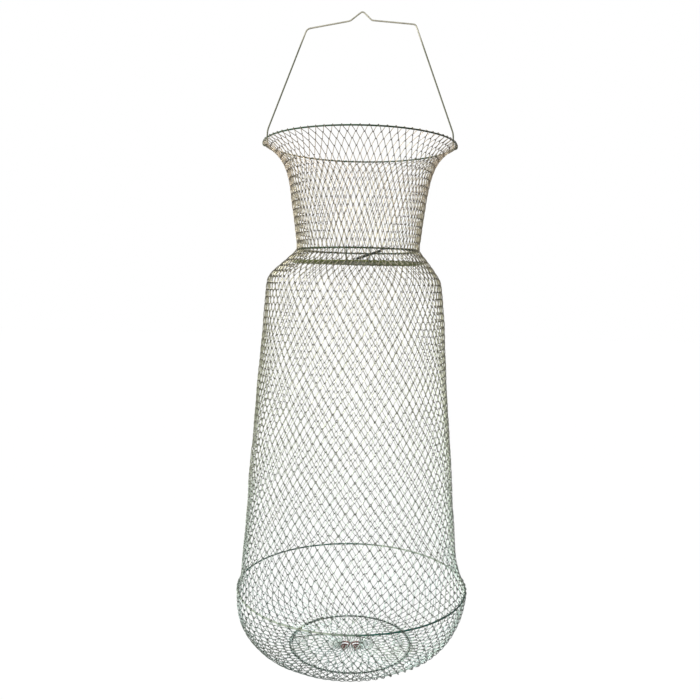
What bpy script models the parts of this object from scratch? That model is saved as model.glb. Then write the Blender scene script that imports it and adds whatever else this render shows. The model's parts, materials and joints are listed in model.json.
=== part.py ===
"""Wire keep net, stretched to its full length and hanging by its bail.

Metres, +Z up, +X to the right, -Y to the front. The origin is the underside of the
bail's peak, where a peg or a line holds the net, so the net hangs below it.
"""

import math

import bmesh
import bpy
from mathutils import Vector

# wire diameters
RING_WIRE = 0.0022
BAIL_WIRE = 0.0025
DOOR_WIRE = 0.0020
LINK_WIRE = 0.0016
SPRING_WIRE = 0.0011
CLIP_WIRE = 0.0022
CLOSING_WIRE = 0.0014
NET_WIRE = 0.0016

# steps along the wires, and round the rings' wire
RING_STEPS = 54
RING_SIDES = 8
LAP_STEPS = 72
DOOR_STEPS = 46
CURL_STEPS = 8
CLIP_STEPS = 16
CLOSING_STEPS = 14
PROFILE_STEPS = 160

# gaps between pieces that touch
GAP = 0.0003
EYE_SIDE_GAP = 0.0006
LINK_SIDE_GAP = 0.0005

# the rings, at the middle of their wire, and the lengths of net between them
RIM_RADIUS = 0.1378
NECK_RADIUS = 0.0869
HOOP_RADIUS = 0.1650
BASE_RADIUS = 0.0876
THROAT_LENGTH = 0.1520
BODY_LENGTH = 0.4870
BOWL_DEPTH = 0.0880
LAP_START = 118.0
LAP_ANGLE = 66.0

# the bail is one bent wire, its left arm a little lower than its right one:
# (out from the middle, down from the peak's sharp corner) for each bend
BAIL_HEIGHT = 0.1925
BAIL_SWING = 50.0
PEAK_BEND = 0.0040
PEAK_FOOT = {"left": (0.0178, 0.0145), "right": (0.0137, 0.0130)}
SHOULDER = {"left": (0.0800, 0.0270), "right": (0.0772, 0.0176)}
FOOT_BEND = {"left": 0.0120, "right": 0.0050}
SHOULDER_BEND = {"left": 0.0090, "right": 0.0060}
LEG_BEND = 0.0300
LEG_STRAIGHT = 0.0140

# how the net swells between the rings
THROAT_TAPER = 0.0200
FLARE_POWER = 7.5
SHOULDER_RADIUS = 0.1250
SHOULDER_DROP = 0.0410
SHOULDER_ROUND = 0.0030
HOOP_PULL = 0.0080
HOOP_PULL_LENGTH = 0.0150
BOWL_FULLNESS = 2.3

# diamonds round each net, and steps from joint to joint down it
NET_AROUND = 18
THROAT_ROWS = 6
BODY_ROWS = 12
BOWL_ROWS = 5
DISC_ROWS = 5
NET_TIP = 0.62 * NET_WIRE

# the sprung door under the neck, and the two links that it turns in
DOOR_RADIUS = 0.0940
DOOR_DROP = 0.0175
DOOR_BAR = 0.0480
DOOR_MIDDLE = 0.0120
LINK_SPACING = 0.0320

# the door's spring
SPRING_RADIUS = 0.00145
SPRING_CURLS = 20
SPRING_LEAD = 0.0045
SPRING_SEAT_X = 0.0350

# the gathered middle of the base, with its two clips and the closing wire
GATHER_SHIFT = 0.0060
CLIP_RADIUS = 0.0075
CLIP_OPENING = 24.0
CLOSING_ANGLE = 176.0
CLOSING_END = (0.0300, 0.0070)
CLOSING_BOW = 0.0140

# heights that follow from those sizes
RIM_Z = BAIL_WIRE / 2 - BAIL_HEIGHT
NECK_Z = RIM_Z - THROAT_LENGTH
DOOR_Z = NECK_Z - DOOR_DROP
HOOP_Z = NECK_Z - BODY_LENGTH
BASE_Z = HOOP_Z - BOWL_DEPTH

# the rim rests on the bottom of each eye of the bail, and the top of the eye clears
# the rim's wire when the bail has swung to its limit
EYE_TOUCH = (RING_WIRE + BAIL_WIRE) / 2
EYE_BEND = EYE_TOUCH + EYE_SIDE_GAP
EYE_SEAT = EYE_TOUCH + GAP
EYE_HEIGHT = (EYE_SEAT + EYE_TOUCH + GAP) / math.cos(math.radians(BAIL_SWING))
SWING_Z = RIM_Z - EYE_SEAT

# the door's hinge bar is a chord of its hoop, straight under the neck ring
BAR_Y = -math.sqrt(NECK_RADIUS**2 - (LINK_SPACING / 2) ** 2)
DOOR_Y = BAR_Y + math.sqrt(DOOR_RADIUS**2 - (DOOR_BAR / 2) ** 2)

# how far from the middle of a ring's wire the joints of its net stand
RING_SEAT = RING_WIRE / 2 + GAP + NET_TIP
LAP_SEAT = RING_WIRE + GAP / 2 + GAP + NET_TIP
DOOR_SEAT = DOOR_WIRE / 2 + GAP + NET_TIP

# the clips lie side by side in the gathered middle
CLIP_X = CLIP_RADIUS + CLIP_WIRE / 2 + GAP / 2
GATHER_RADIUS = CLIP_RADIUS + CLIP_WIRE / 2 + GAP + NET_TIP

RIGHT = Vector((1, 0, 0))
BACK = Vector((0, 1, 0))
UP = Vector((0, 0, 1))


def clear_scene():
    for obj in list(bpy.data.objects):
        bpy.data.objects.remove(obj, do_unlink=True)


def new_collection(name):
    collection = bpy.data.collections.new(name)
    bpy.context.scene.collection.children.link(collection)
    return collection


def material(name, colour, roughness, metallic):
    mat = bpy.data.materials.new(name)
    mat.use_nodes = True
    shader = mat.node_tree.nodes["Principled BSDF"]
    shader.inputs["Base Color"].default_value = (*colour, 1.0)
    shader.inputs["Roughness"].default_value = roughness
    shader.inputs["Metallic"].default_value = metallic
    return mat


def new_pivot(name, location, parent=None):
    """An empty on a joint's axis, at a place in the world, which carries a body's pieces."""
    pivot = bpy.data.objects.new(name, None)
    pivot.empty_display_size = 0.02
    parts.objects.link(pivot)
    pivot["place"] = list(location)
    pivot.parent = parent
    start = Vector(parent["place"]) if parent else Vector()
    pivot.location = Vector(location) - start
    return pivot


def place(obj, pivot, location):
    """Parents a piece to its body's pivot, with its own origin at a place in the world."""
    obj.parent = pivot
    obj.location = Vector(location) - Vector(pivot["place"])


def wire(name, points, diameter, mat, closed=False, sides=8):
    """A bent wire: a poly curve through points given from the piece's own origin."""
    curve = bpy.data.curves.new(name, "CURVE")
    curve.dimensions = "3D"
    curve.bevel_depth = diameter / 2
    curve.bevel_resolution = sides // 2 - 2
    curve.use_fill_caps = not closed
    curve.materials.append(mat)
    spline = curve.splines.new("POLY")
    spline.points.add(len(points) - 1)
    for point, co in zip(spline.points, points):
        point.co = (*co, 1.0)
    spline.use_cyclic_u = closed
    spline.use_smooth = True
    obj = bpy.data.objects.new(name, curve)
    parts.objects.link(obj)
    return obj


def welded_ring(name, radius, mat):
    """A ring of round wire, flat in XY."""
    bpy.ops.mesh.primitive_torus_add(
        major_radius=radius,
        minor_radius=RING_WIRE / 2,
        major_segments=RING_STEPS,
        minor_segments=RING_SIDES,
    )
    obj = bpy.context.object
    obj.name = obj.data.name = name
    for collection in list(obj.users_collection):
        collection.objects.unlink(obj)
    parts.objects.link(obj)
    obj.data.materials.append(mat)
    obj.data.shade_smooth()
    return obj


def arc(centre, radius, start, end, steps, side, up):
    """Points on an arc in the plane of two unit vectors, its angles in degrees."""
    angles = [math.radians(start + (end - start) * n / steps) for n in range(steps + 1)]
    return [centre + radius * (math.cos(a) * side + math.sin(a) * up) for a in angles]


def bent(corners, bends, steps=5):
    """A path through corners, each but the two ends rounded to its bend's radius."""
    path = [corners[0]]
    for before, corner, after, bend in zip(corners, corners[1:], corners[2:], bends):
        back = (before - corner).normalized()
        ahead = (after - corner).normalized()
        half = back.angle(ahead) / 2
        centre = corner + (back + ahead).normalized() * bend / math.sin(half)
        first = corner + back * bend / math.tan(half) - centre
        last = corner + ahead * bend / math.tan(half) - centre
        path += [centre + bend * first.slerp(last, n / steps) for n in range(steps + 1)]
    return path + [corners[-1]]


def bail_arm(side):
    """Half the bail, from its peak's sharp corner to the cut end that closes its eye."""
    out = -RIGHT if side == "left" else RIGHT
    eye = out * RIM_RADIUS + UP * (SWING_Z + EYE_BEND)
    crown = eye + UP * (EYE_HEIGHT - 2 * EYE_BEND)
    leg = out * (RIM_RADIUS - EYE_BEND)
    corners = [
        UP * PEAK_CORNER,
        out * PEAK_FOOT[side][0] + UP * (PEAK_CORNER - PEAK_FOOT[side][1]),
        out * SHOULDER[side][0] + UP * (PEAK_CORNER - SHOULDER[side][1]),
        leg + UP * (SWING_Z + EYE_HEIGHT + LEG_STRAIGHT),
        leg + UP * eye.z,
    ]
    path = bent(corners, (FOOT_BEND[side], SHOULDER_BEND[side], LEG_BEND))
    path += arc(eye, EYE_BEND, 180, 360, 8, out, UP)[1:]
    path += arc(crown, EYE_BEND, 0, 90, 4, out, UP)
    path.append(crown + UP * EYE_BEND - out * (EYE_BEND - BAIL_WIRE / 2 - GAP))
    return path


def peak_corner():
    """Height of the peak's sharp corner, for a rounded peak whose underside is at 0."""
    lean = [math.atan2(*PEAK_FOOT[side]) for side in ("left", "right")]
    half, tilt = sum(lean) / 2, (lean[0] - lean[1]) / 2
    return BAIL_WIRE / 2 + PEAK_BEND * (math.cos(tilt) / math.sin(half) - 1)


def bail_path():
    left, right = bail_arm("left"), bail_arm("right")
    peak = bent([left[1], left[0], right[1]], [PEAK_BEND], steps=6)
    return left[:1:-1] + peak + right[2:]


def lapped_ring(radius):
    """A flat ring of one wire whose two ends lie side by side over the lap."""
    offset = (RING_WIRE + GAP) / 2
    path = []
    for n in range(LAP_STEPS + 1):
        turned_by = (360 + LAP_ANGLE) * n / LAP_STEPS
        inward = min(max((turned_by - LAP_ANGLE) / (360 - LAP_ANGLE), 0), 1)
        angle = math.radians(LAP_START + turned_by)
        reach = radius + offset * (1 - 2 * inward)
        path.append(reach * (math.cos(angle) * RIGHT + math.sin(angle) * BACK))
    return path


def link_path():
    """A long link in the YZ plane, over the neck ring and under the hinge bar."""
    bend = (RING_WIRE + LINK_WIRE) / 2 + LINK_SIDE_GAP
    crown = UP * ((RING_WIRE + LINK_WIRE) / 2 + GAP - bend)
    foot = UP * (bend - (DOOR_WIRE + LINK_WIRE) / 2 - GAP - DOOR_DROP)
    return arc(crown, bend, 0, 180, 8, BACK, UP) + arc(foot, bend, 180, 360, 8, BACK, UP)


def door_hoop_path():
    """The door's hoop from its hinge bar: most of a circle, closed by the straight bar."""
    centre = BACK * (DOOR_Y - BAR_Y)
    corner = math.degrees(math.acos(DOOR_BAR / 2 / DOOR_RADIUS))
    return arc(centre, DOOR_RADIUS, -corner, 180 + corner, DOOR_STEPS, RIGHT, BACK)


def along(profile, distance):
    """The point at a distance along a list of (radius, height) points."""
    for (r0, z0), (r1, z1) in zip(profile, profile[1:]):
        step = math.hypot(r1 - r0, z1 - z0)
        if distance <= step:
            share = distance / step
            return r0 + (r1 - r0) * share, z0 + (z1 - z0) * share
        distance -= step
    return profile[-1]


def seated(shape, first_seat, last_seat):
    """A sleeve's (radius, height) by its share of the way from tip to tip, evenly spaced."""
    profile = [shape(n / PROFILE_STEPS) for n in range(PROFILE_STEPS + 1)]
    whole = sum(math.dist(a, b) for a, b in zip(profile, profile[1:]))
    run = whole - first_seat - last_seat
    return lambda share: along(profile, first_seat + run * share)


def throat_shape(share):
    """Rim to neck: a slight taper that flares out to the rim at its top."""
    up = 1 - share
    flare = RIM_RADIUS - NECK_RADIUS - THROAT_TAPER
    radius = NECK_RADIUS + THROAT_TAPER * up + flare * up**FLARE_POWER
    return radius, -THROAT_LENGTH * share


def body_shape(share):
    """Neck to large hoop: a rounded shoulder, a long taper, and the pull of the hoop."""
    down = BODY_LENGTH * share
    cone = NECK_RADIUS + (SHOULDER_RADIUS - NECK_RADIUS) * down / SHOULDER_DROP
    widening = HOOP_RADIUS - HOOP_PULL - SHOULDER_RADIUS
    side = SHOULDER_RADIUS + widening * (down - SHOULDER_DROP) / (BODY_LENGTH - SHOULDER_DROP)
    rounding = SHOULDER_ROUND * math.log1p(math.exp(-abs(cone - side) / SHOULDER_ROUND))
    pull = HOOP_PULL * math.exp((down - BODY_LENGTH) / HOOP_PULL_LENGTH)
    return min(cone, side) - rounding + pull, -down


def bowl_shape(share):
    """Large hoop to base ring: a full round bowl, fuller in its depth than in its width."""
    angle = share * math.pi / 2
    radius = BASE_RADIUS + (HOOP_RADIUS - BASE_RADIUS) * math.cos(angle)
    return radius, -BOWL_DEPTH * math.sin(angle) ** (2 / BOWL_FULLNESS)


def turned(profile):
    def surface(angle, share):
        radius, z = profile(share)
        return Vector((radius * math.cos(angle), radius * math.sin(angle), z))

    return surface


def door_surface(angle, share):
    """The door's net, from its hoop to the small hole in its middle."""
    forward = -math.sin(angle)
    reach = DOOR_RADIUS
    if forward * DOOR_RADIUS > DOOR_Y - BAR_Y:
        reach = (DOOR_Y - BAR_Y) / forward
    radius = reach - DOOR_SEAT + (DOOR_MIDDLE - reach + DOOR_SEAT) * share
    across, deep = radius * math.cos(angle), radius * math.sin(angle)
    return Vector((across, deep + DOOR_Y - BAR_Y, 0))


def base_surface(angle, share):
    """The base's net, from its ring to the edge of the two clips in its middle."""
    edge = BASE_RADIUS - LAP_SEAT
    radius = edge + (GATHER_RADIUS - edge) * share
    middle = CLIP_X * min(max(2 * math.cos(angle), -1), 1) * share
    across, deep = radius * math.cos(angle), radius * math.sin(angle)
    return Vector((middle + across, deep - GATHER_SHIFT * share, 0))


def joint_angle(row, n):
    """Where a net's joint stands, counted from the right: the tips miss both sides."""
    return 2 * math.pi * (n + 0.5 + 0.5 * (row % 2)) / NET_AROUND


def diamond_net(name, surface, rows, mat):
    """A net of diamonds: joints in staggered rows, and a strut along each edge.

    surface(angle, share) gives a joint's place. The first row's joints are the tips
    that hang on one ring, and the last row's are those that hold the next.
    """
    bm = bmesh.new()
    joints = []
    for row in range(rows + 1):
        angles = [joint_angle(row, n) for n in range(NET_AROUND)]
        joints.append([bm.verts.new(surface(angle, row / rows)) for angle in angles])
    for row in range(rows - 1):
        for n in range(NET_AROUND):
            left = n - 1 + row % 2
            right = (left + 1) % NET_AROUND
            side = joints[row + 1]
            bm.faces.new((joints[row][n], side[left], joints[row + 2][n], side[right]))
    mesh = bpy.data.meshes.new(name)
    bm.to_mesh(mesh)
    bm.free()
    mesh.materials.append(mat)
    obj = bpy.data.objects.new(name, mesh)
    parts.objects.link(obj)
    struts = obj.modifiers.new("struts", "WIREFRAME")
    struts.thickness = NET_WIRE
    struts.offset = 0.0
    struts.use_boundary = True
    struts.use_even_offset = False
    return obj


def least_gap(path, diameter):
    """The least gap of a bent wire to itself, measured on points along its path."""
    fine = [a.lerp(b, n / 4) for a, b in zip(path, path[1:]) for n in range(4)]
    reach = [0.0]
    for a, b in zip(fine, fine[1:]):
        reach.append(reach[-1] + (b - a).length)
    return min(
        (b - a).length - diameter
        for i, a in enumerate(fine)
        for b, far in zip(fine[i:], reach[i:])
        if far - reach[i] > 3 * diameter
    )


def spring_path(seat, hold, strand):
    """From a hook round the neck ring at seat, in close curls, to a hook round a strand.

    The spring's own origin is the seat, the middle of the ring's wire. hold is the
    middle of the door's strand, and strand its direction.
    """
    inward = Vector((-seat.x, -seat.y, 0)).normalized()
    ring_hook = (RING_WIRE + SPRING_WIRE) / 2 + GAP
    net_hook = (NET_WIRE + SPRING_WIRE) / 2 + GAP
    across = UP.cross(strand).normalized()
    start = UP * -ring_hook
    end = hold - seat + UP * net_hook
    axis = (end - start).normalized()
    first = start + axis * SPRING_LEAD
    last = end - axis * SPRING_LEAD
    out = axis.cross(UP).normalized()
    over = out.cross(axis)
    path = arc(Vector(), ring_hook, 20, 270, 9, inward, UP)
    steps = SPRING_CURLS * CURL_STEPS
    for n in range(steps + 1):
        angle = 2 * math.pi * n / CURL_STEPS
        turn = math.cos(angle) * over + math.sin(angle) * out
        path.append(first.lerp(last, n / steps) + SPRING_RADIUS * turn)
    return path + arc(hold - seat, net_hook, 90, 340, 9, -across, UP)


def clip_path(facing):
    """A flat ring of wire, closed but for the opening that faces one way."""
    half = CLIP_OPENING / 2
    return arc(Vector(), CLIP_RADIUS, half, 360 - half, CLIP_STEPS, facing, RIGHT)


def closing_path():
    """A hook over both wires of the base ring, then a bow over the net to a cut end."""
    angle = math.radians(CLOSING_ANGLE)
    out = math.cos(angle) * RIGHT + math.sin(angle) * BACK
    clear = GAP + CLOSING_WIRE / 2
    reach = out * (RING_WIRE + GAP / 2 + clear)
    outer, inner = out * BASE_RADIUS + reach, out * BASE_RADIUS - reach
    crown = UP * (RING_WIRE / 2 + clear)
    low = UP * (NET_WIRE / 2 + clear)
    end = Vector((*CLOSING_END, 0)) + low
    bow = []
    for n in range(1, CLOSING_STEPS + 1):
        share = n / CLOSING_STEPS
        bow.append((inner + low).lerp(end, share) + BACK * CLOSING_BOW * math.sin(math.pi * share))
    corners = [outer, outer + crown, inner + crown, bow[0]]
    return bent(corners, [CLOSING_WIRE, CLOSING_WIRE], steps=3) + bow[1:]


clear_scene()
parts = new_collection("wire_keep_net")
PEAK_CORNER = peak_corner()

green_coat = material("dark green coated wire", (0.015, 0.050, 0.030), 0.45, 0.0)
net_coat = material("olive coated net wire", (0.070, 0.085, 0.045), 0.55, 0.0)
door_coat = material("olive green door wire", (0.100, 0.120, 0.030), 0.50, 0.0)
plated = material("dull plated wire", (0.220, 0.210, 0.150), 0.38, 0.9)
spring_steel = material("dark spring wire", (0.040, 0.045, 0.040), 0.40, 0.8)
copper = material("copper plated clip wire", (0.420, 0.130, 0.080), 0.35, 0.9)

# one pivot on each joint's axis: the rim swings in the bail's eyes, the neck, the hoop
# and the base slide up as the net folds, and the door turns on its hinge bar
rim_pivot = new_pivot("rim_pivot", UP * SWING_Z)
neck_pivot = new_pivot("neck_pivot", UP * NECK_Z, rim_pivot)
door_pivot = new_pivot("door_pivot", BACK * BAR_Y + UP * DOOR_Z, neck_pivot)
hoop_pivot = new_pivot("hoop_pivot", UP * HOOP_Z, neck_pivot)
base_pivot = new_pivot("base_pivot", UP * BASE_Z, hoop_pivot)

# the bail, and the rim that hangs in its eyes
wire("bail", bail_path(), BAIL_WIRE, plated)
place(welded_ring("rim_ring", RIM_RADIUS, green_coat), rim_pivot, UP * RIM_Z)
throat = turned(seated(throat_shape, RING_SEAT, RING_SEAT))
place(diamond_net("throat_net", throat, THROAT_ROWS, net_coat), rim_pivot, UP * RIM_Z)

# the neck ring, with the long body of the net
place(welded_ring("neck_ring", NECK_RADIUS, green_coat), neck_pivot, UP * NECK_Z)
body = turned(seated(body_shape, RING_SEAT, RING_SEAT))
place(diamond_net("body_net", body, BODY_ROWS, net_coat), neck_pivot, UP * NECK_Z)

# the door, the links that carry it, and its spring
door_place = BACK * BAR_Y + UP * DOOR_Z
door_hoop = wire("door_hoop", door_hoop_path(), DOOR_WIRE, door_coat, closed=True, sides=6)
place(door_hoop, door_pivot, door_place)
door_net = diamond_net("door_net", door_surface, DISC_ROWS, door_coat)
place(door_net, door_pivot, door_place)
for side, sign in (("left", -1), ("right", 1)):
    link = wire(f"hinge_link_{side}", link_path(), LINK_WIRE, green_coat, closed=True, sides=6)
    place(link, neck_pivot, (sign * LINK_SPACING / 2, BAR_Y, NECK_Z))
front = NET_AROUND * 3 // 4
tip = door_surface(joint_angle(0, front), 0)
joint = door_surface(joint_angle(1, front - 1), 1 / DISC_ROWS)
seat = Vector((SPRING_SEAT_X, -math.sqrt(NECK_RADIUS**2 - SPRING_SEAT_X**2), NECK_Z))
hold = door_place + (tip + joint) / 2
coil = spring_path(seat, hold, (joint - tip).normalized())
place(wire("door_spring", coil, SPRING_WIRE, spring_steel, sides=6), neck_pivot, seat)
print("door_spring least gap (mm):", round(1000 * least_gap(coil, SPRING_WIRE), 3))

# the large hoop with the bowl, and the base with the wire and the clips that gather it
place(welded_ring("large_hoop", HOOP_RADIUS, green_coat), hoop_pivot, UP * HOOP_Z)
bowl = turned(seated(bowl_shape, RING_SEAT, LAP_SEAT))
place(diamond_net("bowl_net", bowl, BOWL_ROWS, net_coat), hoop_pivot, UP * HOOP_Z)
base_ring = wire("base_ring", lapped_ring(BASE_RADIUS), RING_WIRE, green_coat)
place(base_ring, base_pivot, UP * BASE_Z)
place(diamond_net("base_net", base_surface, DISC_ROWS, net_coat), base_pivot, UP * BASE_Z)
closing_wire = wire("closing_wire", closing_path(), CLOSING_WIRE, plated, sides=6)
place(closing_wire, base_pivot, UP * BASE_Z)
for side, sign in (("left", -1), ("right", 1)):
    clip = wire(f"clip_{side}", clip_path(sign * BACK), CLIP_WIRE, copper)
    place(clip, base_pivot, (sign * CLIP_X, -GATHER_SHIFT, BASE_Z))
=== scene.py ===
"""Looks of the wire keep net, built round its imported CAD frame."""

import json
import math

import bmesh
import bpy
from mathutils import Euler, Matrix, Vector

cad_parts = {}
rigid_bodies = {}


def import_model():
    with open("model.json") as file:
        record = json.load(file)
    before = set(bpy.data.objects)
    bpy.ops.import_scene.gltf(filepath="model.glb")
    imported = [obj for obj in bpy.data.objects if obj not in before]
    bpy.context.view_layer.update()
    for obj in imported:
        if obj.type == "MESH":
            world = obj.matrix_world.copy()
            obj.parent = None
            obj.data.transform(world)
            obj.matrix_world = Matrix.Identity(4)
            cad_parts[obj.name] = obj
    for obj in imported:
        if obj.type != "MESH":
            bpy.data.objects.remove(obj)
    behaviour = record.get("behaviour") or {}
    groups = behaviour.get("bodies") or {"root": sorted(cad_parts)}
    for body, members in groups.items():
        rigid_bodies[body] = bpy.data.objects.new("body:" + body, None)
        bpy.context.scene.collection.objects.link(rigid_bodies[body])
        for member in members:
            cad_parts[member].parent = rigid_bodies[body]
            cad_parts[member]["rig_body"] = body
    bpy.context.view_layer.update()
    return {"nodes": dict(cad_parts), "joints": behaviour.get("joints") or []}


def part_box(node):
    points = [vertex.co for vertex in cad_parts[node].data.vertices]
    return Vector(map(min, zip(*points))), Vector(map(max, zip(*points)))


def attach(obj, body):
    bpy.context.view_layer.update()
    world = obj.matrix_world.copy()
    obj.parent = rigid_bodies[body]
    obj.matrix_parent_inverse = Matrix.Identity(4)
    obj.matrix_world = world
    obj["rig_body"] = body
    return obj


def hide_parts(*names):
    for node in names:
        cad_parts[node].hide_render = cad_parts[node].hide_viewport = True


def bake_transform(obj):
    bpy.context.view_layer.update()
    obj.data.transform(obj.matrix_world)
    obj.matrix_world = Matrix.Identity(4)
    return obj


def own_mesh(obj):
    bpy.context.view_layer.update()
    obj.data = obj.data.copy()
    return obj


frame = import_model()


# The bail. One piece of zinc plated spring wire, cut, bent to a sharp peak and two
# shoulders, and closed into an eye at the foot of each leg, where the rim hangs.
# The CAD has its bends already, so it is only made round and smooth here.
MM = 0.001


def hex_colour(code):
    """An sRGB hex colour as linear red, green, blue and alpha."""
    channels = [int(code[n : n + 2], 16) / 255 for n in (1, 3, 5)]
    linear = [c / 12.92 if c <= 0.04045 else ((c + 0.055) / 1.055) ** 2.4 for c in channels]
    return (*linear, 1.0)


def add_node(tree, kind, inputs=None, **settings):
    """Adds a node, sets its properties, and sets or links its inputs by name or number."""
    made = tree.nodes.new(kind)
    for name, value in settings.items():
        setattr(made, name, value)
    for key, value in (inputs or {}).items():
        if isinstance(value, bpy.types.NodeSocket):
            tree.links.new(value, made.inputs[key])
        else:
            made.inputs[key].default_value = value
    return made


def wire_material(
    name,
    first,
    second,
    dark,
    roughness,
    metallic,
    spot,
    patch,
    gloss=0.5,
    worn=None,
    link_shade=None,
    painted_highlight=None,
    bare=None,
):
    """Round wire. A first and a second tone in patches, and dark in its small spots.

    first is a colour, or pairs of a height and the colour there, from the top down.
    spot and patch are the real sizes of the spots and of the patches. worn is a colour
    that shows where the finish has rubbed off, and how much of the wire is rubbed.
    link_shade (painted shade) is the colour that darkens the linked wire's bends and outer legs
    where its mesh says so, and how thick it lies.
    painted_highlight is a pale colour painted as a highlight, the ways to the sides that have it,
    and how far out it starts and is full. bare is a colour, a place, and how far around it the
    finish is off.
    """
    patch_edge = (0.38, 0.62)  # noise levels at which a patch starts and is full
    dark_edge = (0.56, 0.70)  # the same for the dark in the spots
    worn_edge = 0.05  # how soft the edge of a rubbed place is
    bare_edge = 0.7  # how far out, of a bare place, the finish starts to show
    most_patched = 0.4  # of the second tone, where the first one changes with height
    smoother, rougher = 0.08, 0.12
    bump_strength = 0.25

    material = bpy.data.materials.new(name)
    material.use_nodes = True
    tree = material.node_tree
    shader = tree.nodes["Principled BSDF"]
    place = add_node(tree, "ShaderNodeTexCoord").outputs["Object"]
    patches = add_node(
        tree, "ShaderNodeTexNoise", {"Vector": place, "Scale": 1 / patch, "Detail": 3.0}
    ).outputs["Fac"]
    spots = add_node(
        tree, "ShaderNodeTexNoise", {"Vector": place, "Scale": 1 / spot, "Detail": 4.0}
    ).outputs["Fac"]

    # the first tone, and how much of the second may lie over it
    if isinstance(first, str):
        base, most = hex_colour(first), 1.0
    else:
        top, bottom = first[0][0], first[-1][0]
        height = add_node(tree, "ShaderNodeSeparateXYZ", {0: place}).outputs["Z"]
        fall = add_node(tree, "ShaderNodeMapRange", {"Value": height, 1: top, 2: bottom})
        tone = add_node(tree, "ShaderNodeValToRGB", {0: fall.outputs[0]})
        stops = tone.color_ramp.elements
        while len(stops) < len(first):
            stops.new(1.0)
        for stop, (level, code) in zip(stops, first):
            stop.position = (level - top) / (bottom - top)
            stop.color = hex_colour(code)
        base, most = tone.outputs[0], most_patched

    # the layers over it, each a share of the surface and a colour
    layers = []
    low, high = patch_edge
    share = add_node(tree, "ShaderNodeMapRange", {"Value": patches, 1: low, 2: high, 4: most})
    layers.append((share, second))
    low, high = dark_edge
    share = add_node(tree, "ShaderNodeMapRange", {"Value": spots, 1: low, 2: high})
    layers.append((share, dark))
    if worn:
        code, high = worn
        share = add_node(
            tree, "ShaderNodeMapRange", {"Value": spots, 1: high, 2: high - worn_edge}
        )
        layers.append((share, code))
    # painted shade: a darker colour where the mesh's stored shade says so, in the bends and on the
    # outer legs
    if link_shade:
        code, most = link_shade
        dirt = add_node(tree, "ShaderNodeAttribute", attribute_name="dirt").outputs["Fac"]
        share = add_node(tree, "ShaderNodeMath", {0: dirt, 1: most}, operation="MULTIPLY")
        layers.append((share, code))
    # painted highlight: a pale colour on the sides that face the given ways, standing for a lamp's
    # shine on the glossy coat
    if painted_highlight:
        code, ways, low, high = painted_highlight
        for way in ways:
            out = add_node(
                tree, "ShaderNodeVectorMath", {0: place, 1: way}, operation="DOT_PRODUCT"
            ).outputs["Value"]
            share = add_node(tree, "ShaderNodeMapRange", {"Value": out, 1: low, 2: high})
            layers.append((share, code))
    if bare:
        code, end, reach = bare
        away = add_node(
            tree, "ShaderNodeVectorMath", {0: place, 1: end}, operation="DISTANCE"
        ).outputs["Value"]
        share = add_node(
            tree, "ShaderNodeMapRange", {"Value": away, 1: reach, 2: bare_edge * reach}
        )
        layers.append((share, code))
    for share, code in layers:
        base = add_node(
            tree,
            "ShaderNodeMix",
            {0: share.outputs[0], 6: base, 7: hex_colour(code)},
            data_type="RGBA",
        ).outputs[2]

    shine = add_node(
        tree,
        "ShaderNodeMapRange",
        {"Value": spots, 3: roughness - smoother, 4: roughness + rougher},
    )
    bump = add_node(
        tree,
        "ShaderNodeBump",
        {"Height": spots, "Strength": bump_strength, "Distance": spot / 4},
    )
    tree.links.new(base, shader.inputs["Base Color"])
    tree.links.new(shine.outputs[0], shader.inputs["Roughness"])
    tree.links.new(bump.outputs["Normal"], shader.inputs["Normal"])
    shader.inputs["Metallic"].default_value = metallic
    shader.inputs["Specular IOR Level"].default_value = gloss
    return material


def rounded(node, material):
    """A CAD wire with its faces merged and subdivided, so that it is round close up."""
    mesh = frame["nodes"][node].data.copy()
    bm = bmesh.new()
    bm.from_mesh(mesh)
    bmesh.ops.remove_doubles(bm, verts=bm.verts, dist=0.005 * MM)
    bmesh.ops.join_triangles(
        bm,
        faces=bm.faces,
        angle_face_threshold=math.radians(25),
        angle_shape_threshold=math.radians(60),
    )
    for face in bm.faces:
        face.smooth = True
    bm.to_mesh(mesh)
    bm.free()
    mesh.materials.clear()
    mesh.materials.append(material)
    obj = bpy.data.objects.new(node + "_wire", mesh)
    bpy.context.scene.collection.objects.link(obj)
    smooth = obj.modifiers.new("round", "SUBSURF")
    smooth.levels = smooth.render_levels = 1
    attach(obj, frame["nodes"][node]["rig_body"])
    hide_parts(node)


# Zinc plate on drawn wire with darker spots, its tone painted by height: pale beige at the top, a
# painted highlight of light from above, over dull olive grey down the legs, and nearly black on
# the wire at the base.
plated_wire = wire_material(
    "zinc plated drawn steel wire",
    first=(
        (0.0, "#b2ae9c"),
        (-0.03, "#a5a18e"),
        (-0.05, "#5e604d"),
        (-0.2, "#545846"),
        (-0.9, "#232820"),
    ),
    second="#636450",
    dark="#45443a",
    roughness=0.5,
    metallic=0.5,
    spot=1.2 * MM,
    patch=14 * MM,
)
rounded("bail", plated_wire)


# The three welded rings. Steel wire bent round, butt welded and coated dark green, so
# that each has a low bead where it was joined. The mesh is threaded on them.
BEAD_RISE = 0.13
BEAD_LENGTH = 2 * MM


def ring_size(node):
    """Radius at the middle of the wire, height, and wire diameter of a flat ring."""
    low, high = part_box(node)
    thick = high.z - low.z
    return high.x - thick / 2, (low.z + high.z) / 2, thick


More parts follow.
